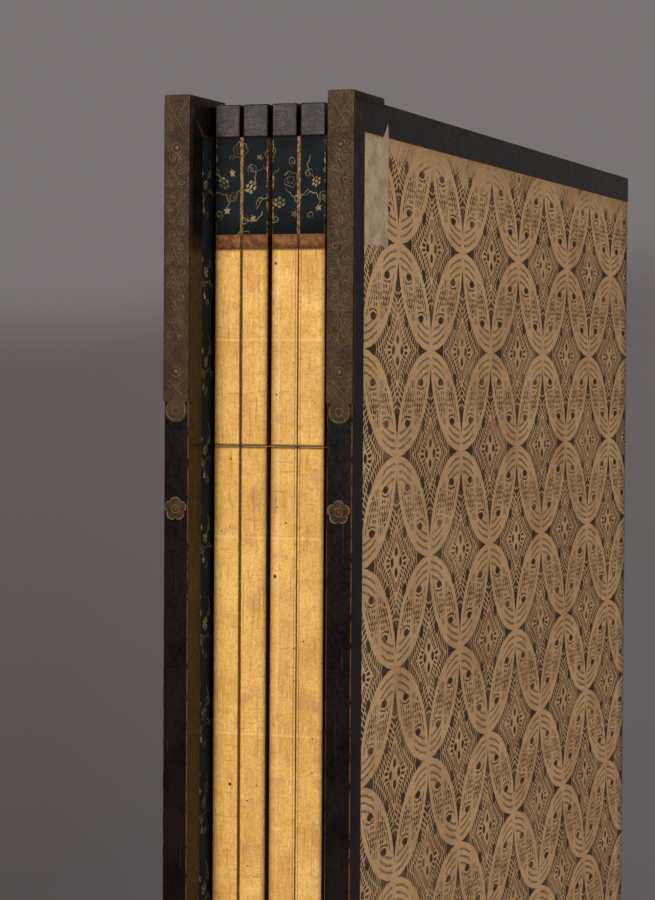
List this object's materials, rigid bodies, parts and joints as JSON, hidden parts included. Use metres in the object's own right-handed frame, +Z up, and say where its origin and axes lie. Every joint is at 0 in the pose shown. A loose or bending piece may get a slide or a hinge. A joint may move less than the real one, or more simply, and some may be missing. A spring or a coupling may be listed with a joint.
{
  "type": "folding screen",
  "caption": "Folding screen of six gilded paper panels with lacquered rails, paper hinges, brocade borders and engraved corner fittings, folded flat.",
  "frame": {"origin": "bottom centre of the folded stack, on the floor", "axes": "+Z up; X along a panel's width, from the end stiles at -X to the plain edges at +X; Y through the folded stack, panel 1 at -Y"},
  "size_m": [0.6219, 0.1056, 1.703],
  "materials": {
    "lacquer": "dark brown-black lacquer, satin, rubbed red-brown at the edges",
    "cedar": "planed cedar strips, unfinished",
    "gold_leaf": "gold leaf on paper, soft metallic sheen, creased and spotted",
    "printed_paper": "buff paper with a dark block print, matt",
    "brocade": "navy silk with woven gold scrolls",
    "copper_brown_silk": "plain copper-brown silk",
    "old_brass": "dark patinated brass, engraved, bright on its raised edges",
    "slip_paper": "old off-white paper, blank"
  },
  "bodies": {
    "panel_1": {"panel_1_lattice": "cedar", "panel_1_gilt_front": "gold_leaf", "panel_1_printed_back": "printed_paper", "panel_1_top_rail": "lacquer", "panel_1_bottom_rail": "lacquer", "panel_1_brocade_border": "brocade", "panel_1_inner_border": "copper_brown_silk", "panel_1_hinge_leaves": "gold_leaf", "panel_1_end_stile": "lacquer", "panel_1_top_corner_fitting": "old_brass", "panel_1_bottom_strap": "old_brass", "panel_1_blossom_nail_covers": "old_brass", "panel_1_fitting_nails": "old_brass", "panel_1_label_slip": "slip_paper"},
    "panel_2": {"panel_2_lattice": "cedar", "panel_2_gilt_front": "gold_leaf", "panel_2_printed_back": "printed_paper", "panel_2_top_rail": "lacquer", "panel_2_bottom_rail": "lacquer", "panel_2_brocade_border": "brocade", "panel_2_inner_border": "copper_brown_silk", "panel_2_hinge_leaves": "gold_leaf"},
    "panel_3": {"panel_3_lattice": "cedar", "panel_3_gilt_front": "gold_leaf", "panel_3_printed_back": "printed_paper", "panel_3_top_rail": "lacquer", "panel_3_bottom_rail": "lacquer", "panel_3_brocade_border": "brocade", "panel_3_inner_border": "copper_brown_silk", "panel_3_hinge_leaves": "gold_leaf"},
    "panel_4": {"panel_4_lattice": "cedar", "panel_4_gilt_front": "gold_leaf", "panel_4_printed_back": "printed_paper", "panel_4_top_rail": "lacquer", "panel_4_bottom_rail": "lacquer", "panel_4_brocade_border": "brocade", "panel_4_inner_border": "copper_brown_silk", "panel_4_hinge_leaves": "gold_leaf"},
    "panel_5": {"panel_5_lattice": "cedar", "panel_5_gilt_front": "gold_leaf", "panel_5_printed_back": "printed_paper", "panel_5_top_rail": "lacquer", "panel_5_bottom_rail": "lacquer", "panel_5_brocade_border": "brocade", "panel_5_inner_border": "copper_brown_silk", "panel_5_hinge_leaves": "gold_leaf"},
    "panel_6": {"panel_6_lattice": "cedar", "panel_6_gilt_front": "gold_leaf", "panel_6_printed_back": "printed_paper", "panel_6_top_rail": "lacquer", "panel_6_bottom_rail": "lacquer", "panel_6_brocade_border": "brocade", "panel_6_inner_border": "copper_brown_silk", "panel_6_hinge_leaves": "gold_leaf", "panel_6_end_stile": "lacquer", "panel_6_top_corner_fitting": "old_brass", "panel_6_bottom_strap": "old_brass", "panel_6_blossom_nail_covers": "old_brass", "panel_6_fitting_nails": "old_brass"}
  },
  "joints": [
    {"name": "fold_3_4", "type": "hinge", "parent": "panel_3", "child": "panel_4", "pos_m": [0.3111, 0.00547, 0], "axis": [0, 0, -1], "range_deg": [0, 180]},
    {"name": "fold_2_3", "type": "hinge", "parent": "panel_3", "child": "panel_2", "pos_m": [-0.2795, -0.01073, 0], "axis": [0, 0, -1], "range_deg": [0, 180]},
    {"name": "fold_4_5", "type": "hinge", "parent": "panel_4", "child": "panel_5", "pos_m": [-0.2795, 0.02167, 0], "axis": [0, 0, 1], "range_deg": [0, 180]},
    {"name": "fold_1_2", "type": "hinge", "parent": "panel_2", "child": "panel_1", "pos_m": [0.3111, -0.02668, 0], "axis": [0, 0, 1], "range_deg": [-0.9, 179]},
    {"name": "fold_5_6", "type": "hinge", "parent": "panel_5", "child": "panel_6", "pos_m": [0.3111, 0.03762, 0], "axis": [0, 0, -1], "range_deg": [0, 180]}
  ],
  "couplings": [
    {"joint": "fold_2_3", "follows": "fold_3_4", "ratio": 1},
    {"joint": "fold_4_5", "follows": "fold_3_4", "ratio": 1}
  ]
}
